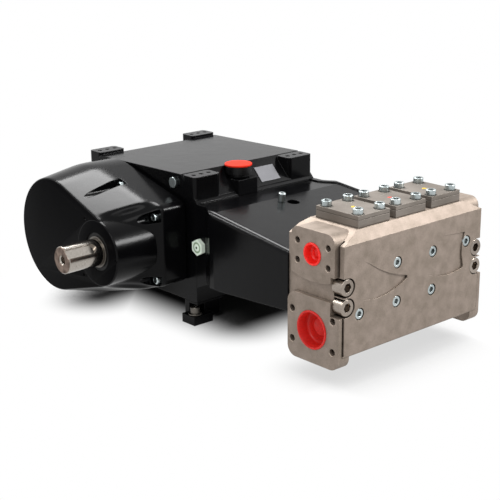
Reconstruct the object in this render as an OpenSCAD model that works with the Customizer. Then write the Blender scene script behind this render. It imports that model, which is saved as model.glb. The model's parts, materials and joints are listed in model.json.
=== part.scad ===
// High pressure three-plunger pump with a bare drive shaft, standing on its four feet.
// x runs along the crankshaft (drive shaft at -x), the manifold front faces -y,
// z is up from the floor. The origin is the centre of the foot pattern.

/* [Manifold] */
// width of the manifold block along the crankshaft
man_w = 330.5; // [300:0.5:360]
// distance of the manifold front face from the origin
reach = 541; // [520:1:560]
// depth of the manifold block
man_d = 120; // [110:1:130]
// underside of the manifold block above the floor
man_z0 = 54; // [46:1:62]
// top of the manifold block above the floor
man_z1 = 253.4; // [248:0.2:262]
// height of the sloped shoulders and of the front chamfer
chamfer_h = 18.2; // [12:0.2:24]
// depth of the front chamfer
chamfer_d = 10.5; // [5:0.5:16]
// width of each sloped shoulder
shoulder_w = 38.7; // [30:0.1:44]
// spacing of the three plungers
pitch = 86; // [80:0.5:92]
// height of the plunger axes and of the crankshaft
axis_z = 153; // [148:1:158]
// radius of the plunger bores
plunger_r = 17; // [14:1:22]

/* [Ports] */
// height of the outlet ports
outlet_z = 213; // [206:0.2:218]
// height of the inlet ports
inlet_z = 88.6; // [84:0.2:96]
// distance of the outlet ports behind the manifold front
outlet_in = 60.5; // [55:0.5:65]
// distance of the inlet ports behind the manifold front
inlet_in = 60.5; // [53:0.5:65]
// radius of the outlet ports
outlet_r = 18.5; // [16:0.5:22]
// radius of the inlet ports
inlet_r = 32; // [29:0.5:38]
// how far the flange faces stand out of the block
pad_t = 8; // [5:0.5:12]
// wall of the plastic port caps
cap_wall = 3.5; // [1.5:0.5:4.5]

/* [Valve covers] */
// width of one cover
cover_w = 71.6; // [64:0.2:76]
// depth of the covers
cover_d = 91.2; // [84:0.2:96]
// thickness of the covers
cover_t = 19.2; // [14:0.2:26]
// radius of the cover screw heads
cover_screw_r = 8.5; // [7:0.5:10.5]
// height of the cover screw heads
cover_screw_h = 10; // [8:1:14]

/* [Crankcase] */
// width of the crankcase
case_w = 285.2; // [260:0.2:310]
// underside of the crankcase above the floor
case_z0 = 42; // [36:1:48]
// y reach of the crankcase walls and lugs from the origin
case_half = 160; // [150:1:170]
// top of the lugs above the floor
lug_z = 271.6; // [268:0.2:276]
// width of each lug
lug_w = 58.6; // [50:0.2:64]
// depth of each lug
lug_d = 36; // [30:1:40]
// thickness of the rear cover plate
rear_t = 12; // [8:1:16]

/* [Gear case] */
// x reach of the gear case end face from the origin
gear_reach = 295.3; // [285:0.1:305]
// y of the crankshaft
crank_y = 61; // [55:1:67]
// radius of the case around the large gear
gear_r = 104; // [98:1:108]
// radius of the case around the drive shaft
pinion_r = 62; // [58:1:66]
// length of the straight base of the gear case
base_len = 52; // [40:1:58]

/* [Drive shaft] */
// y of the drive shaft
shaft_y = -76; // [-80:1:-72]
// height of the drive shaft
shaft_z = 151.5; // [145:0.5:157]
// radius of the drive shaft
shaft_r = 24; // [21:0.5:28]
// free length of the drive shaft
shaft_free = 71; // [62:1:85]
// running clearance around the shaft
run = 0.05; // [0.02:0.01:0.1]
// width of the keyway
key_w = 18; // [12:1:20]

/* [Feet] */
// thickness of the foot flanges
foot_t = 16.5; // [12:0.5:20]
// radius of the holes in the feet
foot_hole_r = 6; // [5:0.5:7]

/* [Crosshead housing] */
// height of the level part of the housing top above the floor
deck_z = 226; // [222:1:230]
// how far the housing flares out beyond the crankcase sides
flare = 18.4; // [14:0.2:22]
// height of the rim along the housing top
rim_h = 2.2; // [1.2:0.2:3]
// fall of the housing top towards the manifold, in degrees
top_tilt = 6.5; // [5:0.5:8]
// radius of the round opening in the housing top
deck_hole_r = 11; // [9:0.5:13]

/* [Hidden] */
$fn = 96;
hw = man_w / 2;
cw = case_w / 2;
man_front = -reach;
man_y1 = man_front + man_d;
outlet_y = man_front + outlet_in;
inlet_y = man_front + inlet_in;
front = -case_half;
foot_x = cw - 5.6;
foot_y = case_half - 14;
gx = -gear_reach;
base_x = -cw - 5;
flange_x = base_x - base_len;
plungers = [-pitch, 0, pitch];
cover_y = man_front + 13.5 + cover_d / 2;
cover_z = man_z1 + cover_t;
outlet_bolts = [66.7, 31.8];
inlet_bolts = [88.9, 50.8];
face_screws = [[-pitch / 2, 185.2], [pitch / 2, 185.2], [hw - 36.3, 185.2],
    [36.3 - hw, 120], [-pitch / 2, 120], [pitch / 2, 120]];
end_screws = [axis_z - 16.8, axis_z + 15.6];
end_screw_x = hw - 9.4;
// middle of the case around the drive shaft, a little below the shaft
pinion_z = shaft_z - 2.5;
gear_bolts = [[shaft_y + 50, pinion_z + 94.5], [shaft_y - 46.5, pinion_z + 56.5],
    [shaft_y - 46.5, pinion_z - 58]];
seal_screws = [[34, 55], [44.5, -49.5], [-55.5, -2]];
rear_w = case_w - 49;
rear_screws = [for (z = [case_z0 + 38, deck_z - 14], k = [-3, -1, 1, 3])
    [k * (rear_w / 2 - 14) / 3, z]];
// cover screws, from the middle of a cover
cover_screws = [cover_w / 2 - 2.8 - cover_screw_r, cover_d / 2 - 3.1 - cover_screw_r];
// bore of the inlet gallery behind the ports
gallery_r = (inlet_z - man_z0) * 0.75;
// y where the deck starts at the foot of the slope, and y where it starts to fall
deck_y = front - 5;
fall_y = front - 63;
// the slope rises 46 over 44 back, and reaches slope_z at the crankcase front
rise = 46 / 44;
slope = atan(rise);
slope_z = deck_z + 5 * rise;
// oil filler, on the crankcase front
filler = [-24, front + 20.5];
filler_z = deck_z + 26;
filler_r = 23.5;
// sight glass and vent screw
glass_y = front - 11.5;
vent = [-11, front - 79.5];

// a bar along x from x0, with its axis at y, z
module along_x(x0, y, z, len, r) {
    translate([x0, y, z]) rotate([0, 90, 0]) cylinder(h = len, r = r);
}

// a bar along y from y0, with its axis at x, z
module along_y(x, y0, z, len, r) {
    translate([x, y0, z]) rotate([-90, 0, 0]) cylinder(h = len, r = r);
}

// a (y, z) outline extruded along x from x0
module side_slab(x0, len) {
    translate([x0, 0, 0]) rotate([90, 0, 90]) linear_extrude(height = len) children();
}

// an (x, z) outline extruded along y from y0
module front_slab(y0, len) {
    translate([0, y0 + len, 0]) rotate([90, 0, 0]) linear_extrude(height = len) children();
}

// a copy on each side of the centre plane
module both_sides() {
    children();
    mirror([1, 0, 0]) children();
}

// a rectangle between two corners with rounded corners
module rounded(u0, v0, u1, v1, r) {
    translate([u0 + r, v0]) square([u1 - u0 - 2 * r, v1 - v0]);
    translate([u0, v0 + r]) square([u1 - u0, v1 - v0 - 2 * r]);
    for (u = [u0 + r, u1 - r], v = [v0 + r, v1 - r]) translate([u, v]) circle(r = r);
}

// a socket head cap screw seated at the origin, head up
module cap_screw(r, h, hex) {
    color("silver") difference() {
        union() {
            cylinder(h = h - 1, r = r);
            translate([0, 0, h - 1]) cylinder(h = 1, r1 = r, r2 = r - 1);
        }
        translate([0, 0, h * 0.45]) cylinder(h = h, r = hex, $fn = 6);
    }
}

module crankcase() {
    color("black") difference() {
        union() {
            side_slab(-cw, case_w)
                polygon([[front, case_z0], [case_half - 20, case_z0], [case_half, case_z0 + 20],
                    [case_half, deck_z + 6], [case_half - 36, lug_z - 5],
                    [front + 39, slope_z + 39 * rise], [front, slope_z]]);
            both_sides() for (y = [-case_half, case_half - lug_d])
                translate([0, 0, 200]) linear_extrude(height = lug_z - 200)
                    rounded(cw - lug_w, y, cw, y + lug_d, 7);
        }
        both_sides() for (y = [-case_half, case_half - lug_d], i = [-1, 0, 1])
            translate([cw - lug_w / 2 + i * 17, y + lug_d / 2, lug_z - 20])
                cylinder(h = 30, r = 4.2);
        translate([filler[0], filler[1], filler_z]) cylinder(h = 30, r = filler_r + 3);
    }
}

module rear_cover() {
    color("black") difference() {
        translate([0, case_half, 0]) front_slab(0, rear_t)
            rounded(-rear_w / 2, case_z0 + 24, rear_w / 2, deck_z, 16);
        translate([0, case_half, 0]) front_slab(rear_t - 3, 5)
            rounded(28 - rear_w / 2, case_z0 + 52, rear_w / 2 - 28, deck_z - 28, 10);
    }
}

module rear_cover_screws() {
    for (p = rear_screws)
        translate([p[0], case_half + rear_t, p[1]]) rotate([-90, 0, 0]) cap_screw(8, 8, 4);
}

module side_bearing_cover() {
    color("black") union() {
        along_x(cw, crank_y - 11, axis_z + 1, 10, 110);
        along_x(cw, crank_y - 11, axis_z + 1, 16, 84);
    }
}

module side_cover_screws() {
    for (i = [0:5])
        translate([cw + 10, crank_y - 11 + 97 * cos(i * 60), axis_z + 1 + 97 * sin(i * 60)])
            rotate([0, 90, 0]) cap_screw(8, 8, 4);
}

// outline around the large gear and the pinion
module gear_outline(grow) {
    hull() {
        translate([crank_y, axis_z + 1]) circle(r = gear_r + grow);
        translate([shaft_y, pinion_z]) circle(r = pinion_r + grow);
    }
}

// the same further in, where the case is nearly as tall in front as the base
module body_outline() {
    hull() {
        translate([crank_y, axis_z + 1]) circle(r = gear_r + 5.6);
        for (z = [-24, 35.7])
            translate([shaft_y - pinion_r + 50, pinion_z + z]) circle(r = 49.6);
    }
}

// outline of the base flange, with its square front corners
module base_outline(grow) {
    hull() {
        translate([crank_y, axis_z + 1]) circle(r = gear_r + 6 + grow);
        for (z = [pinion_z - pinion_r + 9, pinion_z + pinion_r + 3])
            translate([shaft_y - pinion_r + 14, z]) circle(r = 14 + grow);
    }
}

module gear_case() {
    color("black") difference() {
        union() {
            hull() {
                side_slab(gx, 1) gear_outline(-1.5);
                side_slab(gx + 1.5, 1) gear_outline(0);
                side_slab(flange_x, 1) body_outline();
            }
            side_slab(flange_x, base_len) base_outline(0);
            side_slab(base_x, 5) base_outline(-6);
        }
        along_x(gx - 1, shaft_y, shaft_z, 7, 34);
        along_x(gx + 4, shaft_y, shaft_z, 90, shaft_r - 1 + run);
        // screw flutes, open towards the end face
        for (p = gear_bolts)
            translate([flange_x, p[0], p[1]]) rotate([0, -90, 0]) cylinder(h = 94, r1 = 10.5, r2 = 7.5);
        for (p = seal_screws) along_x(gx - 1, shaft_y + p[0], pinion_z + p[1], 4, 3);
    }
}

module gear_case_screws() {
    for (p = gear_bolts)
        translate([flange_x, p[0], p[1]]) rotate([0, -90, 0]) cap_screw(7.5, 8, 4);
}

module shaft_seal() {
    color("dimgray") difference() {
        along_x(gx + 2, shaft_y, shaft_z, 4, 34);
        along_x(gx, shaft_y, shaft_z, 10, shaft_r + 4);
    }
}

module shaft_collar() {
    color("silver") difference() {
        along_x(gx - 1, shaft_y, shaft_z, 7, shaft_r + 3.5);
        along_x(gx - 10, shaft_y, shaft_z, 30, shaft_r - 1 + run);
    }
}

module drive_shaft() {
    x0 = gx - 1 - shaft_free;
    color("silver") difference() {
        union() {
            along_x(x0 + 2, shaft_y, shaft_z, shaft_free - 2.6, shaft_r);
            along_x(gx - 1.6, shaft_y, shaft_z, 92, shaft_r - 1);
            translate([x0, shaft_y, shaft_z]) rotate([0, 90, 0])
                cylinder(h = 2, r1 = shaft_r - 2, r2 = shaft_r);
        }
        // keyway, turned towards the front
        translate([x0, shaft_y, shaft_z]) rotate([50, 0, 0]) {
            translate([-1, -key_w / 2, shaft_r - 5.5]) cube([50, key_w, 10]);
            translate([49, 0, shaft_r - 5.5]) cylinder(h = 10, r = key_w / 2);
        }
        along_x(x0 - 1, shaft_y, shaft_z, 13, 6.8);
        translate([x0 - 0.1, shaft_y, shaft_z]) rotate([0, 90, 0])
            cylinder(h = 3, r1 = 9.8, r2 = 6.8);
    }
}

// everything inside one long rounded edge: up along z, inwards along +x
module edge_body(r) {
    rotate([90, 0, 0]) translate([0, 0, -200]) linear_extrude(height = 700)
        difference() {
            translate([0, -400]) square([400, 400]);
            difference() {
                translate([-1, -r]) square([r + 1, r + 1]);
                translate([r, -r]) circle(r = r);
            }
        }
}

// plan of the housing from y0 to the manifold, narrowed by inset on each side
module housing_plan(y0, inset) {
    side = [[cw, y0], [cw, front - 26], [cw + 1.6, front - 31], [cw + 6, front - 39],
        [cw + 12.5, front - 48], [cw + 17, front - 57], [cw + flare + 0.6, front - 69.5],
        [hw + 3.1, man_y1]];
    polygon(concat([for (p = side) [inset - p[0], p[1]]],
        [for (i = [7:-1:0]) [side[i][0] - inset, side[i][1]]]));
}

// the space over the deck as a (y, z) outline, the deck lowered by down
module over_deck(down) {
    end_z = deck_z - down - (fall_y - man_y1 + 1) * tan(top_tilt);
    polygon([[deck_y, deck_z - down], [fall_y, deck_z - down], [man_y1 - 1, end_z],
        [man_y1 - 1, 300], [deck_y, 300]]);
}

// the left side of the housing with its rounded upper edge
module housing_side() {
    splay = atan((hw + 2.5 - cw - flare) / (fall_y - man_y1));
    translate([-cw - flare, fall_y, deck_z]) rotate([top_tilt, 0, 0]) rotate([0, 0, -splay])
        edge_body(9);
}

module crosshead_housing() {
    color("black") difference() {
        intersection() {
            side_slab(-man_w, 2 * man_w)
                polygon([[front, 71], [front - 32, 85], [front - 65, 90], [front - 89, 90],
                    [man_y1, 103], [man_y1, deck_z], [deck_y, deck_z], [front, slope_z]]);
            linear_extrude(height = 300) housing_plan(front, 0);
            housing_side();
            mirror([1, 0, 0]) housing_side();
        }
        // the deck lies inside a low rim
        intersection() {
            side_slab(-man_w, 2 * man_w) over_deck(rim_h);
            linear_extrude(height = 300) housing_plan(deck_y, 11);
        }
        translate([5.4, fall_y - 29.7, deck_z - 36]) cylinder(h = 40, r = deck_hole_r);
        // seat of the oil filler boss
        translate([filler[0] - 23, deck_y, deck_z - rim_h]) cube([46, 6, 30]);
        for (x = plungers) {
            along_y(x, man_y1 + 20, axis_z, 200, 34);
            along_y(x, man_y1 - 1, axis_z, 30, plunger_r + 8);
        }
    }
}

module vent_screw() {
    translate([vent[0], vent[1], deck_z - rim_h - (fall_y - vent[1]) * tan(top_tilt)])
        rotate([top_tilt, 0, 0]) cap_screw(6.5, 16, 3);
}

module oil_filler_boss() {
    color("black") side_slab(filler[0] - 23, 46)
        polygon([[deck_y, deck_z - rim_h], [front, deck_z - rim_h], [front, slope_z],
            [front + (filler_z - slope_z) / rise, filler_z], [deck_y, filler_z]]);
}

module oil_filler_cap() {
    color("black") translate([filler[0], filler[1], filler_z]) cylinder(h = 21, r = filler_r);
}

module oil_filler_disc() {
    color("red") translate([filler[0], filler[1], filler_z + 21])
        cylinder(h = 4, r = filler_r + 1.5);
}

module name_plate() {
    color("gray") translate([42, front, slope_z]) rotate([slope, 0, 0])
        translate([-23, 7, 0]) cube([46, 32, 1]);
}

module side_plug() {
    color("silver") along_x(-cw - 5, front + 57, lug_z - 17, 5, 9.5);
}

module oil_sight_glass() {
    color("palegreen") difference() {
        translate([-cw - 8, glass_y, axis_z - 3]) rotate([0, 90, 0])
            cylinder(h = 8, r = 15, $fn = 6);
        along_x(-cw - 9, glass_y, axis_z - 3, 3, 9.5);
    }
}

module sight_glass_lens() {
    color("white") along_x(-cw - 6.5, glass_y, axis_z - 3, 0.5, 9.5);
}

// front left foot, with the foot hole at the origin
module foot() {
    color("black") difference() {
        union() {
            translate([-13, -14, 0]) cube([43, 35, foot_t]);
            translate([-5.6, 9, 0]) cube([lug_w, 12, case_z0]);
            translate([18, -5, 8]) cube([lug_w - 23.6, 26, case_z0 - 8]);
            translate([-5.6, -14, 38]) cube([lug_w, 35, case_z0 - 38]);
        }
        translate([0, 0, -1]) cylinder(h = 30, r = foot_hole_r);
    }
}

module foot_front_left() { translate([-foot_x, -foot_y, 0]) foot(); }
module foot_front_right() { mirror([1, 0, 0]) foot_front_left(); }
module foot_rear_left() { mirror([0, 1, 0]) foot_front_left(); }
module foot_rear_right() { mirror([0, 1, 0]) foot_front_right(); }

// flange with its lower edge bowed down to z0
module outlet_pad() {
    intersection() {
        rounded(man_front + 12.5, outlet_z - 53, man_front + 107, man_z1 - 2, 16);
        translate([outlet_y, outlet_z - 44.6 + 140]) circle(r = 140);
    }
}

module port_pads() {
    side_slab(-hw - pad_t, 54) outlet_pad();
    side_slab(-hw - pad_t, 24)
        rounded(man_front + 2, inlet_z - 55.2, inlet_y + 54.5, inlet_z + 54.6, 18);
}

// cut between an outline and a ramp that starts at (x, z) and deepens away from it
module relief(x, z, turn, fall) {
    intersection() {
        front_slab(man_front - 1, 6) children();
        translate([x, man_front, z]) rotate([0, turn, 0]) rotate([0, 0, fall])
            translate([0, -50, -200]) cube([300, 50, 400]);
    }
}

// blind bolt hole in the left flange face, with a small countersink
module flange_hole(y, z, r) {
    along_x(-hw - 20, y, z, 40, r);
    translate([-hw - pad_t - 0.1, y, z]) rotate([0, 90, 0])
        cylinder(h = 1.3, r1 = r + 1.3, r2 = r);
}

module manifold_block() {
    color("tan") difference() {
        union() {
            intersection() {
                side_slab(-hw, man_w)
                    polygon([[man_front + 3, man_z0], [man_y1, man_z0], [man_y1, man_z1 - 8],
                        [man_y1 - 8, man_z1], [man_front + chamfer_d, man_z1],
                        [man_front, man_z1 - chamfer_h], [man_front, man_z0 + 3]]);
                front_slab(man_front, man_d)
                    polygon([[-hw + 3, man_z0], [hw - 3, man_z0], [hw, man_z0 + 3],
                        [hw, man_z1 - chamfer_h], [hw - shoulder_w, man_z1],
                        [shoulder_w - hw, man_z1], [-hw, man_z1 - chamfer_h],
                        [-hw, man_z0 + 3]]);
            }
            both_sides() port_pads();
        }
        // galleries, plunger bores and valve bores
        along_x(-hw - 20, outlet_y, outlet_z, man_w + 40, outlet_r);
        along_x(-hw - 20, inlet_y, inlet_z, man_w + 40, gallery_r);
        for (x = plungers) {
            along_y(x, cover_y, axis_z, 90, plunger_r);
            translate([x, cover_y, inlet_z]) cylinder(h = 200, r = 22);
        }
        both_sides() {
            along_x(-hw - 20, inlet_y, inlet_z, 36, inlet_r);
            for (a = [-0.5, 0.5], b = [-0.5, 0.5]) {
                flange_hole(outlet_y + a * outlet_bolts[0], outlet_z + b * outlet_bolts[1], 5);
                flange_hole(inlet_y + a * inlet_bolts[0], inlet_z + b * inlet_bolts[1], 5.5);
            }
            for (z = end_screws) {
                along_y(-end_screw_x, man_front - 1, z, 22, 15.5);
                translate([-hw - 10, man_front - 1, z - 15.5]) cube([hw + 10 - end_screw_x, 22, 31]);
            }
            translate([-hw - 9, man_front + 9, axis_z + 32]) cube([20, 3.5, 62]);
            translate([-hw - 1, man_front - 1, inlet_z - 30]) cube([3.2, 6, 64]);
        }
        for (p = face_screws) along_y(p[0], man_front - 1, p[1], 9, 10);
        relief(-126, 160, 0, 1.9)
            polygon([[-130, 209], [-108.3, 197], [-85.1, 183.1], [-61.4, 171.7],
                [-40.4, 164.5], [-19.2, 159.1], [-19, 154.8], [-30.8, 149.1],
                [-48.4, 142.7], [-68.8, 138.2], [-89.1, 136.8], [-130, 140.6]]);
        relief(40, 172, 33, 2.2)
            polygon([[123.4, 202.4], [117.7, 180.8], [117.9, 163.3], [122.7, 143.6],
                [121.2, 140.7], [101.7, 137.3], [78.9, 137], [56.2, 140.4],
                [33.7, 146.7], [17.8, 152.9], [20, 210]]);
    }
}

module valve_cover(x) {
    color("tan") difference() {
        translate([x - cover_w / 2, cover_y - cover_d / 2, man_z1])
            cube([cover_w, cover_d, cover_t]);
        translate([x, cover_y, cover_z - 4]) cylinder(h = 10, r = 3.5);
        for (s = [-1, 1], t = [-1, 1])
            translate([x + s * cover_screws[0], cover_y + t * cover_screws[1], cover_z - 1])
                cylinder(h = 5, r = cover_screw_r + 1.2);
        translate([x, cover_y, man_z1 + 12]) linear_extrude(height = 0.8) difference() {
            square([cover_w + 2, cover_d + 2], center = true);
            square([cover_w - 1.2, cover_d - 1.2], center = true);
        }
    }
}

module valve_cover_left() { valve_cover(-pitch); }
module valve_cover_middle() { valve_cover(0); }
module valve_cover_right() { valve_cover(pitch); }

module valve_screws(x) {
    for (s = [-1, 1], t = [-1, 1])
        translate([x + s * cover_screws[0], cover_y + t * cover_screws[1], cover_z - 1])
            cap_screw(cover_screw_r, cover_screw_h, 5.8);
}

module valve_screws_left() { valve_screws(-pitch); }
module valve_screws_middle() { valve_screws(0); }
module valve_screws_right() { valve_screws(pitch); }

module manifold_face_screws() {
    for (p = face_screws)
        translate([p[0], man_front + 8, p[1]]) rotate([90, 0, 0]) cap_screw(9.2, 7, 5);
}

module manifold_end_screws() {
    both_sides() for (z = end_screws)
        translate([-end_screw_x, man_front + 21, z]) rotate([90, 0, 0]) cap_screw(14, 20, 8);
}

// cup-shaped plastic cap pushed into a port, its lip a little proud of the flange
module port_cap(y, z, r, deep) {
    color("red") translate([-hw - pad_t, y, z]) rotate([0, 90, 0]) difference() {
        translate([0, 0, -2]) cylinder(h = deep + 5, r = r);
        translate([0, 0, -3]) cylinder(h = deep + 3, r = r - cap_wall);
    }
}

module outlet_cap_left() { port_cap(outlet_y, outlet_z, outlet_r, 12); }
module outlet_cap_right() { mirror([1, 0, 0]) outlet_cap_left(); }
module inlet_cap_left() { port_cap(inlet_y, inlet_z, inlet_r, 19); }
module inlet_cap_right() { mirror([1, 0, 0]) inlet_cap_left(); }

crankcase();
rear_cover();
rear_cover_screws();
side_bearing_cover();
side_cover_screws();
gear_case();
gear_case_screws();
shaft_seal();
shaft_collar();
drive_shaft();
crosshead_housing();
vent_screw();
oil_filler_boss();
oil_filler_cap();
oil_filler_disc();
name_plate();
side_plug();
oil_sight_glass();
sight_glass_lens();
foot_front_left();
foot_front_right();
foot_rear_left();
foot_rear_right();
manifold_block();
valve_cover_left();
valve_cover_middle();
valve_cover_right();
valve_screws_left();
valve_screws_middle();
valve_screws_right();
manifold_face_screws();
manifold_end_screws();
outlet_cap_left();
outlet_cap_right();
inlet_cap_left();
inlet_cap_right();
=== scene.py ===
# %% [markdown]
# # A three-plunger high pressure pump, dressed in Blender
# The machine's solids come ready made, in metres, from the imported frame. This file gives
# them their finishes, adds the small pieces that are too fine for the solids, and sets up
# the floor, the lamps and the camera of the product photograph.

import json
import math

import bmesh
import bpy
from mathutils import Matrix, Vector

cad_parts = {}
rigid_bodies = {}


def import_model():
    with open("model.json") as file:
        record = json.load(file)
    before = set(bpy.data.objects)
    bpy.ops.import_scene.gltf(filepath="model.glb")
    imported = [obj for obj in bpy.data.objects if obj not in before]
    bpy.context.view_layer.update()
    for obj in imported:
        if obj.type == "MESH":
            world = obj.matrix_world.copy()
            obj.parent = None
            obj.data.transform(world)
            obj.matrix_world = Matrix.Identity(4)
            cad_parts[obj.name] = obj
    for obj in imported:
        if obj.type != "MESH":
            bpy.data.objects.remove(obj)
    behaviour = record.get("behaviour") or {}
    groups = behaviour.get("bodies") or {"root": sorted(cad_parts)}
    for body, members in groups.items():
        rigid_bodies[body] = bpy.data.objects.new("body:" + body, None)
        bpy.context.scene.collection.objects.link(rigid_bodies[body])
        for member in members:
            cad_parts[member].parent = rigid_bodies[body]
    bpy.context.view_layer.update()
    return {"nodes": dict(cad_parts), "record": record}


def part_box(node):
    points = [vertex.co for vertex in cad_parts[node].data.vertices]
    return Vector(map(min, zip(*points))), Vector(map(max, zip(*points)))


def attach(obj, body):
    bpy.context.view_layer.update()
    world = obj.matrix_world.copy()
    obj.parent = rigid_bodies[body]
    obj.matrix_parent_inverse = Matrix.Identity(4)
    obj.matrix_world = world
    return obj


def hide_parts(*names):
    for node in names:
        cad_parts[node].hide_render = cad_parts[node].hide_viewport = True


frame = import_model()
nodes = frame["nodes"]
BODY = "pump_body"

# %% [markdown]
# ## The camera
# The photograph was taken from the front left, a little above the pump, with a long lens:
# the edges along the plungers and along the crankshaft close in only slightly. A long lens
# far away could be swapped for a short one close by, but then the near flanges would look
# too large. The place and the focal length were solved from the bolt patterns of the two
# port flanges and the manifold's edges.

# %% Camera
cam_data = bpy.data.cameras.new("camera")
camera = bpy.data.objects.new("camera", cam_data)
bpy.context.collection.objects.link(camera)
cam_data.sensor_width = 36.0
cam_data.lens = 84.87
cam_data.clip_start, cam_data.clip_end = 0.1, 60.0
camera.location = (-1.3940, -1.7076, 0.7494)
yaw, pitch, roll = math.radians(-41.69), math.radians(17.02), math.radians(-0.45)
camera.rotation_mode = "XYZ"
camera.rotation_euler = (math.pi / 2 - pitch, 0.0, yaw)
camera.rotation_euler = (
    camera.rotation_euler.to_matrix() @ Matrix.Rotation(roll, 3, "Z")
).to_euler("XYZ")
bpy.context.scene.camera = camera
print("camera at", tuple(camera.location))

# %% [markdown]
# ## Small helpers for materials
# Every colour below is an sRGB hex value, as a paint chart or an image editor shows it.
# Blender's shaders want linear light, so one function turns one into the other. A second
# one adds a node, sets its inputs and wires it up, which keeps each material short. The
# objects are in metres, so a noise's Scale counts features per metre: 1000 is 1 mm.


# %% Colour and node helpers
def linear(hex_colour):
    """An sRGB hex colour as linear RGBA."""
    parts = [int(hex_colour[i : i + 2], 16) / 255 for i in (1, 3, 5)]
    light = [p / 12.92 if p <= 0.04045 else ((p + 0.055) / 1.055) ** 2.4 for p in parts]
    return (*light, 1.0)


def add(tree, kind, settings=None, stops=(), **inputs):
    """Adds a node. settings are its properties, stops the (position, hex) of a colour ramp.

    inputs are its sockets by name, or by number as i0, i1: a value, or a (node, output).
    """
    node = tree.nodes.new(kind)
    for name, value in (settings or {}).items():
        setattr(node, name, value)
    for i, (position, colour) in enumerate(stops):
        node.color_ramp.elements[i].position = position
        node.color_ramp.elements[i].color = linear(colour)
    for name, value in inputs.items():
        numbered = name[0] == "i" and name[1:].isdigit()
        socket = node.inputs[int(name[1:]) if numbered else name.replace("_", " ")]
        if isinstance(value, tuple) and isinstance(value[0], bpy.types.Node):
            tree.links.new(value[0].outputs[value[1]], socket)
        else:
            socket.default_value = value
    return node


def new_material(name):
    """A material without nodes yet, and its tree."""
    material = bpy.data.materials.new(name)
    material.use_nodes = True
    material.node_tree.nodes.clear()
    return material, material.node_tree


print("mid grey in linear light:", round(linear("#808080")[0], 3))


# %% [markdown]
# ## Black paint on the castings
# The crankcase, gear case and crosshead housing are cast iron, sprayed with black two-part
# enamel. Cast skin is never flat: under the gloss it rolls by a few hundredths of a
# millimetre every few millimetres, which breaks long reflections into soft ones. Two
# noises do that here, one for the roll and one for the fine grain of the sand. An image
# texture would need unwrapping, and noise in object space needs none.


# %% Black enamel
def black_enamel(name, gloss, level):
    """Paint with a rolling skin. gloss is its roughness, level its specular level."""
    material, tree = new_material(name)
    place = add(tree, "ShaderNodeTexCoord")
    spot = (place, "Object")
    # the grain is 0.9 mm across, about three times moulding sand, and the roll is 22 mm,
    # also coarser than the real skin: finer ones don't show at the photograph's size
    grain = add(tree, "ShaderNodeTexNoise", Vector=spot, Scale=1100.0, Detail=2.0)
    roll = add(tree, "ShaderNodeTexNoise", Vector=spot, Scale=45.0, Detail=2.0)
    cloud = add(tree, "ShaderNodeTexNoise", Vector=spot, Scale=9.0, Detail=3.0)
    tint = add(tree, "ShaderNodeValToRGB", stops=((0.3, "#040405"), (0.7, "#070708")),
               i0=(cloud, "Fac"))
    rough = add(tree, "ShaderNodeMapRange", Value=(cloud, "Fac"),
                To_Min=gloss - 0.04, To_Max=gloss + 0.05)
    edge = add(tree, "ShaderNodeBevel", {"samples": 6}, Radius=0.0022)
    wave = add(tree, "ShaderNodeBump", Strength=0.16, Distance=0.0012,
               Height=(roll, "Fac"), Normal=(edge, 0))
    bump = add(tree, "ShaderNodeBump", Strength=0.07, Distance=0.0003,
               Height=(grain, "Fac"), Normal=(wave, 0))
    shader = add(tree, "ShaderNodeBsdfPrincipled", Base_Color=(tint, "Color"),
                 Roughness=(rough, "Result"), Normal=(bump, 0), Specular_IOR_Level=level)
    add(tree, "ShaderNodeOutputMaterial", Surface=(shader, 0))
    return material


enamel = black_enamel("black_two_part_enamel", 0.19, 0.1)
# painted shade: a copy of the enamel that hardly reflects, put on the end face alone so it stays
# black
enamel_painted_shade = black_enamel("black_enamel_painted_shade", 0.42, 0.012)
print("paint:", enamel.name, enamel_painted_shade.name)
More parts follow.
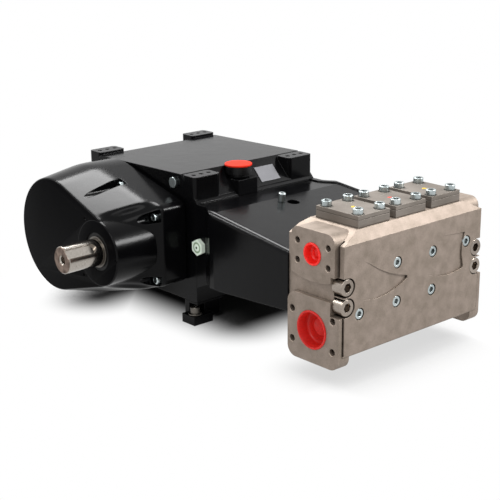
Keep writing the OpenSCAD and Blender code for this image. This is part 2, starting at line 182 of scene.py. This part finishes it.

# %% [markdown]
# ## Bare metals
# The manifold is a machined stainless block, bead blasted to a warm grey satin. Its valve
# covers were left as milled, so they show fine lines along x. Screws are zinc plated and
# bluish. Every bare metal gets painted shade: an ambient occlusion node darkens its colour
# in sockets, grooves and seams, and finds them by itself, where a mask would be a lot of work.
# The grain is 1.4 to 2 mm across, and the milled lines 0.7 mm. That is several times
# coarser than the real ones, which are finer than a pixel of the photograph.


# %% Metals
def metal(name, dark, light, roughness, scale, shade_reach=0.004, speckle=16.0, stretch=(1.0, 1.0, 1.0)):
    """A bare metal with a grain. Its painted shade darkens it where a wall is nearer than the
    reach given, in metres.
    """
    material, tree = new_material(name)
    place = add(tree, "ShaderNodeTexCoord")
    turn = add(tree, "ShaderNodeMapping", Vector=(place, "Object"), Scale=stretch)
    grain = add(tree, "ShaderNodeTexNoise", Vector=(turn, 0), Scale=scale,
                Detail=4.0, Roughness=0.6)
    cloud = add(tree, "ShaderNodeTexNoise", Vector=(place, "Object"), Scale=speckle, Detail=5.0)
    both = add(tree, "ShaderNodeMath", {"operation": "ADD"}, i0=(grain, "Fac"), i1=(cloud, "Fac"))
    half = add(tree, "ShaderNodeMath", {"operation": "MULTIPLY"}, i0=(both, 0), i1=0.5)
    tint = add(tree, "ShaderNodeValToRGB", stops=((0.35, dark), (0.65, light)), i0=(half, 0))
    # painted shade: ambient occlusion darkens the colour towards #15150F in sockets, grooves and
    # seams
    near = add(tree, "ShaderNodeAmbientOcclusion", {"samples": 6}, Distance=shade_reach)
    unshaded_share = add(tree, "ShaderNodeMapRange", Value=(near, "AO"),
                From_Min=0.25, From_Max=0.8, To_Min=0.12)
    tint_with_painted_shade = add(tree, "ShaderNodeMix", {"data_type": "RGBA"}, Factor=(unshaded_share, "Result"),
                 i6=linear("#15150F"), i7=(tint, "Color"))
    rough = add(tree, "ShaderNodeMapRange", Value=(grain, "Fac"),
                To_Min=roughness - 0.06, To_Max=roughness + 0.06)
    edge = add(tree, "ShaderNodeBevel", {"samples": 6}, Radius=0.001)
    bump = add(tree, "ShaderNodeBump", Strength=0.25, Distance=0.0001,
               Height=(grain, "Fac"), Normal=(edge, 0))
    shader = add(tree, "ShaderNodeBsdfPrincipled", Base_Color=(tint_with_painted_shade, 2), Metallic=1.0,
                 Roughness=(rough, "Result"), Normal=(bump, 0))
    add(tree, "ShaderNodeOutputMaterial", Surface=(shader, 0))
    return material


blasted_steel = metal("bead_blasted_stainless_steel", "#84796E", "#A1948A", 0.62, 700.0,
                      speckle=55.0)
milled_steel = metal("milled_stainless_steel", "#716A63", "#8F8881", 0.6, 50.0,
                     stretch=(1.0, 30.0, 30.0))
zinc = metal("zinc_plated_steel", "#939D9E", "#CAD2D2", 0.3, 500.0, shade_reach=0.007)
dark_steel = metal("oiled_black_oxide_steel", "#57534E", "#74706A", 0.38, 500.0)
turned_steel = metal("turned_stainless_steel", "#7D736A", "#AAA096", 0.3, 600.0)
plate = metal("satin_aluminium", "#68686B", "#7A7A7D", 0.5, 700.0)
print("metals:", blasted_steel.name, milled_steel.name, zinc.name, turned_steel.name, plate.name)

# %% [markdown]
# The drive shaft is ground along its length and only oiled, so its cut end has browned a
# little. One material does both: the tint changes with x, from the free end inwards.

# %% Shaft steel
shaft_end_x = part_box("drive_shaft")[0][0]
ground_steel, tree = new_material("ground_shaft_steel")
place = add(tree, "ShaderNodeTexCoord")
across = add(tree, "ShaderNodeSeparateXYZ", Vector=(place, "Object"))
end = add(tree, "ShaderNodeMapRange", Value=(across, "X"),
          From_Min=shaft_end_x + 0.0004, From_Max=shaft_end_x + 0.0018)
# grinding marks 0.4 mm apart along x, far coarser than real ones, which would not show
rings = add(tree, "ShaderNodeMapping", Vector=(place, "Object"), Scale=(40.0, 4.0, 4.0))
grain = add(tree, "ShaderNodeTexNoise", Vector=(rings, 0), Scale=60.0, Detail=3.0)
stain = add(tree, "ShaderNodeTexNoise", Vector=(place, "Object"), Scale=90.0, Detail=4.0)
rust = add(tree, "ShaderNodeValToRGB", stops=((0.35, "#4E4038"), (0.65, "#857469")),
           i0=(stain, "Fac"))
bright = add(tree, "ShaderNodeValToRGB", stops=((0.3, "#918B84"), (0.7, "#B4AEA6")),
             i0=(grain, "Fac"))
tint = add(tree, "ShaderNodeMix", {"data_type": "RGBA"}, Factor=(end, "Result"),
           i6=(rust, "Color"), i7=(bright, "Color"))
rough = add(tree, "ShaderNodeMapRange", Value=(end, "Result"), To_Min=0.45, To_Max=0.16)
bump = add(tree, "ShaderNodeBump", Strength=0.06, Distance=0.00003, Height=(grain, "Fac"))
shader = add(tree, "ShaderNodeBsdfPrincipled", Base_Color=(tint, 2), Metallic=1.0,
             Roughness=(rough, "Result"), Normal=(bump, 0))
add(tree, "ShaderNodeOutputMaterial", Surface=(shader, 0))
print("shaft steel:", ground_steel.name)

# %% [markdown]
# ## Plastics and rubber
# Transport caps are soft red polyethylene: a little light goes into it, so its shadows stay
# red. The filler cap is moulded nylon, and the shaft seal is matt nitrile rubber.


# %% Plastics and rubber
def plastic(name, base, roughness, level=0.4, subsurface=0.0):
    """A moulded plastic with a faint spark-eroded grain, 2 mm across and so coarser than real."""
    material, tree = new_material(name)
    place = add(tree, "ShaderNodeTexCoord")
    grain = add(tree, "ShaderNodeTexNoise", Vector=(place, "Object"), Scale=500.0, Detail=2.0)
    value = add(tree, "ShaderNodeMapRange", Value=(grain, "Fac"), To_Min=0.9, To_Max=1.06)
    hue = add(tree, "ShaderNodeHueSaturation", Color=linear(base), Value=(value, "Result"))
    bump = add(tree, "ShaderNodeBump", Strength=0.1, Distance=0.0003, Height=(grain, "Fac"))
    shader = add(tree, "ShaderNodeBsdfPrincipled", Base_Color=(hue, "Color"), Normal=(bump, 0),
                 Roughness=roughness, Specular_IOR_Level=level, Subsurface_Weight=subsurface,
                 Subsurface_Scale=0.002)
    add(tree, "ShaderNodeOutputMaterial", Surface=(shader, 0))
    return material


red_cap = plastic("red_polyethylene", "#DE2019", 0.34, 0.3, 0.15)
# painted shade: a darker copy of the red for the deep inlet cups, whose floors lie in shade
red_cap_painted_shade = plastic("red_polyethylene_painted_shade", "#B91E18", 0.4, 0.25, 0.1)
red_disc = plastic("red_moulded_plastic", "#DE3320", 0.6, 0.1)
black_plastic = plastic("black_moulded_nylon", "#0A0A0B", 0.25, 0.2)
rubber = plastic("nitrile_rubber", "#101010", 0.62, 0.3)
sight = plastic("pale_green_sight_glass", "#DCE8DA", 0.22)
sight_dark = plastic("dark_oil_behind_glass", "#3F4A38", 0.12)
sight_mid = plastic("oil_seen_through_glass", "#8EA489", 0.15)
yellow_paint = plastic("yellow_marking_paint", "#D8B62A", 0.4)
red_paint = plastic("red_marking_paint", "#CB3A26", 0.4)
print("plastics:", red_cap.name, red_disc.name, black_plastic.name, rubber.name, sight.name)

# %% [markdown]
# ## The finishes on the solids
# Each solid's record names a material slot, and this table gives every slot its finish.
# A few nodes need their own: the covers are milled, and the end screws are stainless.

# %% Put the finishes on the solids
FINISH = {
    "black_paint_iron": enamel,
    "black_paint_alloy": enamel,
    "zinc_steel": zinc,
    "ground_steel": ground_steel,
    "seal_rubber": rubber,
    "black_plastic": black_plastic,
    "red_plastic": red_cap,
    "plate_aluminium": plate,
    "sight_glass": sight,
    "manifold_steel": blasted_steel,
}
OWN_FINISH = {
    "manifold_end_screws": turned_steel,
    "shaft_collar": dark_steel,
    "valve_cover_left": milled_steel,
    "valve_cover_middle": milled_steel,
    "valve_cover_right": milled_steel,
    "sight_glass_lens": sight_dark,
}
slot_of = {s["node"]: s["material_slot"] for s in frame["record"]["subparts"]}
for name, obj in nodes.items():
    finish = OWN_FINISH.get(name, FINISH[slot_of[name]])
    for material_slot in obj.material_slots:
        material_slot.material = finish
    if not obj.material_slots:
        obj.data.materials.append(finish)
print("finished", len(nodes), "solids")

# %% [markdown]
# ## Rings of vertices
# Every piece below is a row of rings joined by quads, so two functions serve them all: one
# joins the rings and closes the ends, and one turns the result into an object.


# %% Skins and objects
def ring(bm, radius, height, steps, centre=(0.0, 0.0)):
    """A ring of vertices round the z axis. radius is a number, or a function of the angle."""
    verts = []
    for i in range(steps):
        a = 2 * math.pi * i / steps
        r = radius(a) if callable(radius) else radius
        x, y = centre[0] + r * math.cos(a), centre[1] + r * math.sin(a)
        verts.append(bm.verts.new((x, y, height)))
    return verts


def skin(bm, rows):
    """Joins rings of vertices with quads, and closes the first and the last ring."""
    for low, high in zip(rows, rows[1:]):
        for i in range(len(low)):
            j = (i + 1) % len(low)
            bm.faces.new((low[i], low[j], high[j], high[i]))
    bm.faces.new(list(reversed(rows[0])))
    bm.faces.new(rows[-1])


def new_object(name, bm, *finishes):
    """The bmesh as an object with outward normals, linked to the scene."""
    bmesh.ops.recalc_face_normals(bm, faces=bm.faces)
    mesh = bpy.data.meshes.new(name)
    bm.to_mesh(mesh)
    bm.free()
    for finish in finishes:
        mesh.materials.append(finish)
    obj = bpy.data.objects.new(name, mesh)
    bpy.context.collection.objects.link(obj)
    return obj


def middle(name):
    """The middle of a node's box."""
    low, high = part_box(name)
    return Vector([(a + b) / 2 for a, b in zip(low, high)])


print("the crankcase's middle:", tuple(round(v, 4) for v in middle("crankcase")))


# %% [markdown]
# ## Turned pieces
# Caps, screws, washers and rings are all round, so one function turns a profile about an
# axis, as a lathe would. A profile is a list of (radius, height) points in metres. Spin
# modifiers could do it too, but a bmesh keeps the ribs of the filler cap simple.

# %% A lathe
RIM = 0.0012  # points this near the widest radius are ribbed


def lathe(name, profile, centre, axis, finish, steps=64, ribs=0, rib_depth=0.0):
    """Turns a profile about axis at centre. ribs cuts flutes into the outermost points."""
    bm = bmesh.new()
    widest = max(r for r, _ in profile)

    def ribbed(r):
        return lambda a: r - rib_depth * (0.5 - 0.5 * math.cos(ribs * a))

    skin(bm, [ring(bm, ribbed(r) if ribs and r > widest - RIM else r, h, steps)
              for r, h in profile])
    bmesh.ops.remove_doubles(bm, verts=bm.verts, dist=1e-6)
    for face in bm.faces:
        face.smooth = len(face.verts) == 4
    obj = new_object(name, bm, finish)
    turn = Vector((0, 0, 1)).rotation_difference(Vector(axis)).to_matrix().to_4x4()
    obj.data.transform(Matrix.Translation(Vector(centre)) @ turn)
    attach(obj, BODY)
    return obj


def rounded_step(r, z0, z1, edge, points=4):
    """The side of a turned step from z0 up to z1, with its upper edge rounded."""
    angles = [math.pi / 2 * i / points for i in range(points + 1)]
    return [(r, z0)] + [(r - edge + edge * math.cos(a), z1 - edge + edge * math.sin(a))
                        for a in angles]


print("a rounded step has", len(rounded_step(0.01, 0.0, 0.01, 0.001)), "points")


# %% [markdown]
# ## The gear case
# The real case is one sand casting: a tapered body that flares towards the crankcase, a
# round boss around the drive shaft that dies away into it, and three long flutes that let
# a screwdriver reach the flange screws. The solid has the taper and the flutes, with plain
# facets. It leaves out the boss, and its flange is about 10 mm smaller in radius than the
# photograph shows. A subdivision cage could smooth it, but would round the flutes too. So
# the body is a loft between outlines that are hulls of circles, and the boss and flutes
# are put in with booleans, as a pattern maker adds and scoops wood.

# %% Outlines and lofts
TURN = 1440  # steps of a quarter degree
# (first step, last step, points) up to the two front corners, at 135 and 225 degrees
SPANS = ((0, 540, 90), (540, 900, 56), (900, 1440, 90))


def outline(circles, drawn_in=0.0):
    """Points round the hull of (y, z, r) circles, evenly spaced between its front corners."""
    edge = []
    for i in range(TURN + 1):
        a = 2 * math.pi * i / TURN
        y, z, r = max(circles, key=lambda c: c[0] * math.cos(a) + c[1] * math.sin(a) + c[2])
        edge.append(Vector((y + r * math.cos(a), z + r * math.sin(a))))
    points = []
    for first, last, count in SPANS:
        lengths = [0.0]
        for p, q in zip(edge[first:last], edge[first + 1 : last + 1]):
            lengths.append(lengths[-1] + (q - p).length)
        k = 0
        for i in range(count):
            want = lengths[-1] * i / count
            while lengths[k + 1] < want:
                k += 1
            share = (want - lengths[k]) / max(lengths[k + 1] - lengths[k], 1e-9)
            a = 2 * math.pi * (first + k + share) / TURN
            inward = drawn_in * Vector((math.cos(a), math.sin(a)))
            points.append(edge[first + k].lerp(edge[first + k + 1], share) - inward)
    return points


def loft(name, stations):
    """A closed skin over stations of (x, outline)."""
    bm = bmesh.new()
    skin(bm, [[bm.verts.new((x, p.x, p.y)) for p in points] for x, points in stations])
    return new_object(name, bm)


def rod(y, z, *steps):
    """A round rod along x at (y, z), from steps of (x, radius)."""
    return loft("cutter", [(x, outline([(y, z, r)])) for x, r in steps])


print("an outline has", sum(count for _, _, count in SPANS), "points")


# %% The outlines of the gear case
shaft_at = middle("drive_shaft")
end_x, wall_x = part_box("gear_case")[0][0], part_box("gear_case")[1][0]
flange_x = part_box("gear_case_screws")[1][0]
base_x = wall_x - 0.005
end_circles = [(0.061, 0.154, 0.1035), (-0.070, 0.181, 0.032), (-0.072, 0.118, 0.032)]
flange_circles = [(0.057, 0.151, 0.1210), (-0.124, 0.091, 0.014), (-0.124, 0.2135, 0.014)]
base_circles = [(0.059, 0.153, 0.1185), (-0.124, 0.093, 0.014), (-0.124, 0.2135, 0.014)]
end_ring, flange_ring = outline(end_circles), outline(flange_circles)
print("outlines of", len(end_ring), "points, flange at x", round(flange_x, 4))

# %% The flare of the body
SLOPE, BEND, REACH = 1.2, 0.70, 1.05  # grows at SLOPE up to BEND, then levels off by REACH
CORNER_FROM, CORNER_WIDTH = -0.104, 0.026  # y where the front corners start, and over how much
RINGS = 32


def flare(share):
    """How far the outline has grown from the end face towards the flange."""
    rest = REACH - BEND
    t = max(0.0, (share - BEND) / rest)
    leave = SLOPE * rest * (t - 2 * t**2 + t**3)
    return SLOPE * min(share, BEND) + leave + (1 - SLOPE * BEND) * (3 * t**2 - 2 * t**3)


def near_front(point):
    """0 for most of the outline and 1 at its front corners, where the casting flares later."""
    share = min(max((CORNER_FROM - point.x) / CORNER_WIDTH, 0.0), 1.0)
    return share * share * (3 - 2 * share)


stations = [(end_x + 0.0004, outline(end_circles, 0.0022)),
            (end_x + 0.001, outline(end_circles, 0.0008))]
for i in range(RINGS + 1):
    share = REACH * i / RINGS
    early, late = flare(share), min(share, 1.0) ** 1.8
    points = [p.lerp(q, early + (late - early) * near_front(q))
              for p, q in zip(end_ring, flange_ring)]
    stations.append((end_x + 0.0024 + (flange_x - end_x) * share, points))
for x, drawn_in in ((base_x - 0.001, 0.0), (base_x, 0.001), (base_x, 0.006), (wall_x, 0.006)):
    stations.append((x, outline(base_circles, drawn_in)))
gear_casting = loft("gear_case_casting", stations)
print("gear case body:", len(stations), "outlines")

# %% The boss, the flutes and the shaft's seat
boss_y, boss_z, boss_r = shaft_at.y, shaft_at.z - 0.0025, 0.0595
FLUTE_LENGTH, FLUTE_THIN, FLUTE_WIDE = 0.094, 0.0072, 0.0100
# each flute's place from the boss, and the way it opens outwards
flutes = [((0.050, 0.0945), (-0.005, 0.018)), ((-0.0465, 0.0565), (-0.018, 0.006)),
          ((-0.0465, -0.058), (-0.018, -0.006))]
dimples = [(0.034, 0.055), (0.0445, -0.0495), (-0.0555, -0.002)]
# (depth, radius): the two rings at 3.2 and 4.5 mm keep the shading flat behind the edge
boss_steps = [(0.0, boss_r - 0.002), (0.0006, boss_r - 0.0007), (0.002, boss_r),
              (0.0032, boss_r), (0.0045, boss_r), (0.085, boss_r)]
tools = [("UNION", rod(boss_y, boss_z, *[(end_x + d, r) for d, r in boss_steps]))]
for (dy, dz), (out_y, out_z) in flutes:
    y, z = boss_y + dy, boss_z + dz
    scoop = [(x, outline([(y, z, r), (y + out_y, z + out_z, r + 0.002)]))
             for x, r in ((flange_x - FLUTE_LENGTH, FLUTE_THIN), (flange_x, FLUTE_WIDE))]
    tools.append(("DIFFERENCE", loft("cutter", scoop)))
# (y, z, radius, from, to): the seal's seat, the shaft's bore as deep as in the solid, and
# the seal screws
holes = [(shaft_at.y, shaft_at.z, 0.034, -0.001, 0.006),
         (shaft_at.y, shaft_at.z, 0.0231, 0.0, 0.094)]
holes += [(boss_y + dy, boss_z + dz, 0.003, -0.001, 0.003) for dy, dz in dimples]
for y, z, r, start, stop in holes:
    tools.append(("DIFFERENCE", rod(y, z, (end_x + start, r), (end_x + stop, r))))
print("gear case tools:", len(tools))

# %% Cut the gear case
for kind, tool in tools:
    cut = gear_casting.modifiers.new("cut", "BOOLEAN")
    cut.operation, cut.object, cut.solver = kind, tool, "EXACT"
depsgraph = bpy.context.evaluated_depsgraph_get()
whole = bpy.data.meshes.new_from_object(gear_casting.evaluated_get(depsgraph))
gear_casting.modifiers.clear()
gear_casting.data = whole
for kind, tool in tools:
    bpy.data.objects.remove(tool)
whole.materials.clear()
whole.materials.append(enamel)
whole.materials.append(enamel_painted_shade)
for face in whole.polygons:
    face.use_smooth = abs(face.normal.x) < 0.99
    # the end face takes the barely reflecting copy of the enamel: painted shade
    face.material_index = int(face.normal.x < -0.99 and face.center.x < end_x + 0.001)
whole.set_sharp_from_angle(angle=math.radians(28))
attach(gear_casting, BODY)
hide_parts("gear_case")
print("gear case casting:", len(whole.polygons), "faces")

# %% [markdown]
# ## Oil filler cap
# A black nylon cap with finger ribs, and a red disc pressed into its top. The ribs are what
# the eye reads as a thing to turn, so they are real flutes and not a bump.

# %% Filler cap and its disc
low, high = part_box("oil_filler_cap")
cap_at = middle("oil_filler_cap")
cap_seat = (cap_at.x, cap_at.y, low[2])
cap_r, cap_h = (high[0] - low[0]) / 2, high[2] - low[2]
cap_profile = [(cap_r - 0.006, 0.0)] + rounded_step(cap_r - 0.003, 0.0, 0.0045, 0.0006)
cap_profile += [(cap_r - 0.0042, 0.0046), (cap_r, 0.0062)]
cap_profile += rounded_step(cap_r, 0.0065, cap_h, 0.0012)
filler_cap = lathe("filler_cap_ribbed", cap_profile, cap_seat, (0, 0, 1), black_plastic,
                   steps=240, ribs=60, rib_depth=0.00035)
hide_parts("oil_filler_cap")
low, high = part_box("oil_filler_disc")
disc_r, disc_h = (high[0] - low[0]) / 2, high[2] - low[2]
disc_profile = rounded_step(disc_r, 0.0, disc_h - 0.0004, min(0.0011, disc_h / 2))
disc_profile += [(disc_r * 0.5, disc_h), (0.002, disc_h)]
filler_disc = lathe("filler_cap_disc", disc_profile, (cap_at.x, cap_at.y, low[2]), (0, 0, 1),
                    red_disc, steps=96)
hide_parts("oil_filler_disc")
print("filler cap radius", round(cap_r, 4), "disc radius", round(disc_r, 4))

# %% [markdown]
# ## Transport caps in the ports
# Each port is closed by a red cup with a thin rolled lip. The solid is a plain cup, and the
# turned one here rounds the lip, the bottom corner and adds the moulding ring on the floor.

# %% Port caps
CUP_WALL, CUP_FLOOR = 0.0035, 0.002


def port_cup(node, out_x):
    """A cup in place of a plain solid. out_x is +1 or -1, the way the port faces."""
    low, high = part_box(node)
    r, depth = (high[2] - low[2]) / 2, high[0] - low[0]
    inner = r - CUP_WALL
    outside = [(0.001, 0.0), (r - 0.002, 0.0), (r, 0.002), (r, depth - 0.0015)]
    lip = [(r - 0.0006, depth - 0.0004), (r - 0.0015, depth), (inner + 0.0008, depth),
           (inner, depth - 0.0008)]
    inside = [(inner, CUP_FLOOR + 0.004), (inner - 0.0012, CUP_FLOOR + 0.0012),
              (inner - 0.004, CUP_FLOOR)]
    mould = [(inner * 0.52, CUP_FLOOR), (inner * 0.5, CUP_FLOOR + 0.0007),
             (inner * 0.46, CUP_FLOOR + 0.0007), (inner * 0.44, CUP_FLOOR), (0.0012, CUP_FLOOR)]
    base = low[0] if out_x > 0 else high[0]
    at = middle(node)
    # the inlet cups get the darker red, painted shade for their deeper floors
    cup = lathe(node + "_cup", outside + lip + inside + mould, (base, at.y, at.z), (out_x, 0, 0),
                red_cap_painted_shade if "inlet" in node else red_cap, steps=96)
    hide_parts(node)
    return cup


cups = [port_cup(kind + "_cap_" + side, out_x)
        for kind in ("outlet", "inlet") for side, out_x in (("left", -1), ("right", 1))]
print("port cups:", [cup.name for cup in cups])

# %% [markdown]
# ## Foot screws
# A cap screw with a plain washer sits on each foot flange. The head is turned and its
# socket is six flat walls cut into the top.

# %% Foot screws
HEAD_R, HEAD_H, SOCKET = 0.0085, 0.012, 0.0048
WASHER, WASHER_R = 0.0025, 0.0085 * 1.45
FLANGE_TOP = 0.0165
STEPS = 48


def socket_wall(a):
    """The radius of a hexagon socket at angle a."""
    return SOCKET * math.cos(math.pi / 6) / math.cos((a % (math.pi / 3)) - math.pi / 6)


def foot_screw(name, at):
    """A cap screw on its washer, standing at a point."""
    bm = bmesh.new()
    top = WASHER + HEAD_H
    profile = [(WASHER_R, 0.0), (WASHER_R, WASHER - 0.0004), (WASHER_R - 0.0004, WASHER),
               (HEAD_R + 0.0001, WASHER), (HEAD_R, WASHER), (HEAD_R, top - 0.0012),
               (HEAD_R - 0.0012, top), (SOCKET + 0.0008, top), (socket_wall, top - 0.0006),
               (socket_wall, WASHER + HEAD_H * 0.45)]
    skin(bm, [ring(bm, radius, height, STEPS) for radius, height in profile])
    obj = new_object(name, bm, dark_steel)
    obj.data.transform(Matrix.Translation(Vector(at)))
    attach(obj, BODY)
    return obj


feet_mount = [m for m in frame["record"]["mounts"] if m["name"] == "feet"][0]
half_x = feet_mount["dims"]["spacing_x_mm"] / 2000
half_y = feet_mount["dims"]["spacing_y_mm"] / 2000
foot_screws = [
    foot_screw("foot_screw_%s_%s" % (fore, side), (sx * half_x, sy * half_y, FLANGE_TOP))
    for fore, sy in (("front", -1), ("rear", 1)) for side, sx in (("left", -1), ("right", 1))
]
print("foot screws:", len(foot_screws))

# %% [markdown]
# ## Sight glass
# The pale hexagon screws into the housing side. Three low turned steps show the ring, the
# domed glass and the dark spot of oil in its middle.

# %% Sight glass rings
glass_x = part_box("oil_sight_glass")[0][0]
glass_at = middle("oil_sight_glass")
for name, r, height, finish in (("groove", 0.0100, 0.0003, sight_mid),
                                ("dome", 0.0066, 0.0010, sight),
                                ("centre", 0.0027, 0.0013, sight_dark)):
    profile = [(r, -0.001), (r, height * 0.4), (r - 0.0004, height * 0.8), (r * 0.6, height),
               (0.0003, height)]
    lathe("sight_glass_" + name, profile, (glass_x, glass_at.y, glass_at.z), (-1, 0, 0), finish,
          steps=72)
print("sight glass at", tuple(round(v, 4) for v in glass_at))

# %% [markdown]
# ## Paint marks on the valve covers
# The fitter who torqued the covers put a dab of marking paint into each centre hole. A dab
# is a low blob with an uneven rim, so its radius wobbles with the angle.

# %% Paint dabs
DAB_R, DAB_STEPS = 0.0042, 28
DAB_ROWS = ((1.0, 0.0), (0.96, 0.0003), (0.7, 0.0007), (0.35, 0.0009))  # (share of radius, height)


def paint_dab(name, at, finish, seed):
    """A flat blob of paint with a wandering edge, lying in the top of a hole."""
    bm = bmesh.new()

    def wander(share):
        return lambda a: DAB_R * share * (
            1 + 0.16 * math.sin(2 * a + seed) + 0.1 * math.sin(5 * a + 2 * seed))

    skin(bm, [ring(bm, wander(share), at[2] + height, DAB_STEPS, at[:2])
              for share, height in DAB_ROWS])
    for face in bm.faces:
        face.smooth = len(face.verts) == 4
    obj = new_object(name, bm, finish)
    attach(obj, BODY)
    return obj


for name, finish, seed in (("left", yellow_paint, 0.4), ("middle", red_paint, 1.7),
                           ("right", yellow_paint, 2.9)):
    cover_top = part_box("valve_cover_" + name)[1][2]
    at = middle("valve_cover_" + name)
    paint_dab("paint_dab_" + name, (at.x, at.y, cover_top - 0.0004), finish, seed)
print("paint dabs: 3")

# %% [markdown]
# ## Floor, background and lamps
# The pump stands on a seamless white sheet, with a soft shadow and no horizon. What the
# camera, mirrors and glass see of the world is white. The shadow should be close and
# faint, and fade to plain white. A plain sheet under these lamps throws a wide grey one,
# so the shadow is painted: the sheet's colour darkens with how much the pump covers it,
# and fades to white with the distance from three boxes under the pump. The third box lies
# below the floor, which keeps it always some way off: so the manifold's painted shadow stays
# faint.

# %% The sheet's fade
FOOTPRINTS = (  # (centre, half size) of each box
    ((-0.025, 0.16, 0.0), (0.155, 0.06, 0.0)),
    ((0.01, -0.025, 0.0), (0.09, 0.175, 0.0)),
    ((0.0, -0.49, -0.08), (0.14, 0.03, 0.0)),
)
FADE = 0.13  # metres from a box to plain white
paper, tree = new_material("seamless_paper")
place = add(tree, "ShaderNodeTexCoord")
gap = None
for centre, half in FOOTPRINTS:
    off = add(tree, "ShaderNodeVectorMath", {"operation": "SUBTRACT"},
              i0=(place, "Object"), i1=centre)
    off = add(tree, "ShaderNodeVectorMath", {"operation": "ABSOLUTE"}, i0=(off, 0))
    off = add(tree, "ShaderNodeVectorMath", {"operation": "SUBTRACT"}, i0=(off, 0), i1=half)
    off = add(tree, "ShaderNodeVectorMath", {"operation": "MAXIMUM"},
              i0=(off, 0), i1=(0.0, 0.0, 0.0))
    away = (add(tree, "ShaderNodeVectorMath", {"operation": "LENGTH"}, i0=(off, 0)), "Value")
    gap = away if gap is None else (
        add(tree, "ShaderNodeMath", {"operation": "MINIMUM"}, i0=gap, i1=away), 0)
far = add(tree, "ShaderNodeMapRange", {"interpolation_type": "SMOOTHSTEP"}, Value=gap,
          From_Min=0.0, From_Max=FADE)
print("footprints:", len(FOOTPRINTS))

# %% The sheet
def seen_rays(tree):
    """1 where the camera, a mirror or glass looks, as a node's first output."""
    path = add(tree, "ShaderNodeLightPath")
    seen = add(tree, "ShaderNodeMath", {"operation": "MAXIMUM"},
               i0=(path, "Is Camera Ray"), i1=(path, "Is Glossy Ray"))
    return add(tree, "ShaderNodeMath", {"operation": "MAXIMUM"},
               i0=(seen, 0), i1=(path, "Is Transmission Ray"))


sheet = add(tree, "ShaderNodeBsdfDiffuse", Color=linear("#FAFAFA"))
# painted shadow: ambient occlusion from the pump overhead darkens the sheet's colour, down to 0.09
under = add(tree, "ShaderNodeAmbientOcclusion", {"samples": 8}, Distance=0.3)
painted_shadow_tone = add(tree, "ShaderNodeMapRange", Value=(under, "AO"),
          From_Min=0.25, From_Max=0.9, To_Min=0.09, To_Max=0.96)
sheet_with_painted_shadow = add(tree, "ShaderNodeBsdfDiffuse", Color=(painted_shadow_tone, 0))
white = add(tree, "ShaderNodeEmission", Color=linear("#FFFFFF"), Strength=1.0)
seen = seen_rays(tree)
seen_far = add(tree, "ShaderNodeMath", {"operation": "MULTIPLY"}, i0=(seen, 0), i1=(far, "Result"))
blend = add(tree, "ShaderNodeMixShader", Fac=(seen_far, 0), i1=(sheet_with_painted_shadow, 0), i2=(white, 0))
plain = add(tree, "ShaderNodeMixShader", Fac=(seen, 0), i1=(sheet, 0), i2=(blend, 0))
add(tree, "ShaderNodeOutputMaterial", Surface=(plain, 0))
FAR = 30  # half the sheet's side
floor_mesh = bpy.data.meshes.new("floor")
floor_mesh.from_pydata([(-FAR, -FAR, 0), (FAR, -FAR, 0), (FAR, FAR, 0), (-FAR, FAR, 0)], [],
                       [(0, 1, 2, 3)])
floor_mesh.materials.append(paper)
floor = bpy.data.objects.new("floor", floor_mesh)
bpy.context.collection.objects.link(floor)
print("floor:", paper.name)

# %% The world
world = bpy.data.worlds.new("studio")
bpy.context.scene.world = world
world.use_nodes = True
tree = world.node_tree
tree.nodes.clear()
level = add(tree, "ShaderNodeMapRange", Value=(seen_rays(tree), 0), To_Min=0.32, To_Max=1.0)
sky = add(tree, "ShaderNodeBackground", Color=(1.0, 1.0, 1.0, 1.0), Strength=(level, "Result"))
add(tree, "ShaderNodeOutputWorld", Surface=(sky, 0))
print("world:", world.name)

# %% Lamps
LAMPS = (  # name, place, aim, size in metres, power in watts
    ("back_high", (0.22, 0.86, 1.95), (-0.2, 0.0, 0.2), (0.8, 1.1), 48),
    ("back_left", (-0.95, 1.15, 1.5), (-0.1, -0.25, 0.2), (0.2, 0.6), 12),
    ("front_right", (0.83, -1.38, 1.12), (-0.25, -0.13, 0.17), (0.40, 0.36), 18),
    ("right_high", (1.6, -1.2, 1.5), (0.0, -0.4, 0.2), (1.0, 1.0), 9),
    ("front_left", (-1.3, -1.9, 2.2), (0, -0.2, 0.1), (1.2, 1.2), 14),
    ("left", (-2.0, -1.0, 2.0), (0, -0.2, 0.15), (1.0, 1.0), 24),
)
for name, place, aim, size, power in LAMPS:
    data = bpy.data.lights.new(name, "AREA")
    data.shape = "RECTANGLE"
    data.size, data.size_y = size
    data.energy = power
    lamp = bpy.data.objects.new(name, data)
    bpy.context.collection.objects.link(lamp)
    lamp.location = place
    lamp.rotation_euler = (Vector(aim) - Vector(place)).to_track_quat("-Z", "Y").to_euler()
print("lamps:", len(LAMPS))

# %% Settings and finish
scene = bpy.context.scene
scene.view_settings.view_transform = "Standard"
